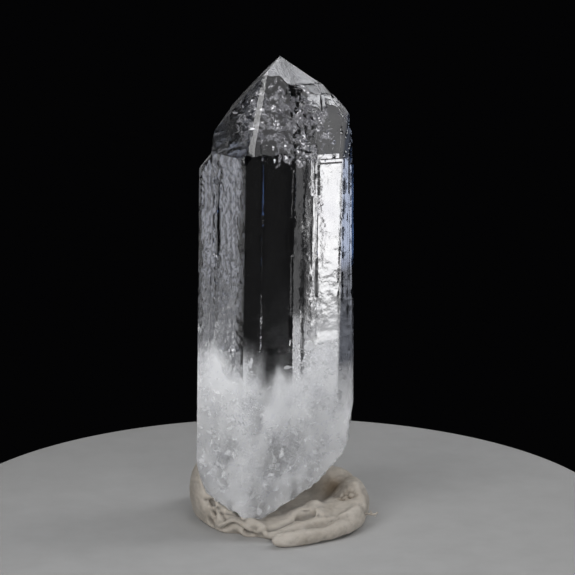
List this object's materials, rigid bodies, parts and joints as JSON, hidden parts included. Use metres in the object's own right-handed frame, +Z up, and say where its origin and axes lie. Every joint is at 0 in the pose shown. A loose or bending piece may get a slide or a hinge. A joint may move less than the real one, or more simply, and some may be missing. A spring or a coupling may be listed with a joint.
{
  "type": "quartz crystal",
  "caption": "Clear pointed quartz crystal with a milky lower part and thin parallel growths on its sides, standing upright in a hand-pressed lump of cream mounting putty.",
  "frame": {"origin": "centre of the putty's flat underside, on the surface that the specimen stands on", "axes": "+Z up along the crystal, +X to the right and -Y towards the picture's viewer"},
  "size_m": [0.0301, 0.0309, 0.0771],
  "materials": {
    "quartz": "polished",
    "putty": "matte"
  },
  "bodies": {
    "root": {"quartz_crystal": "quartz", "mounting_putty": "putty"}
  },
  "joints": []
}
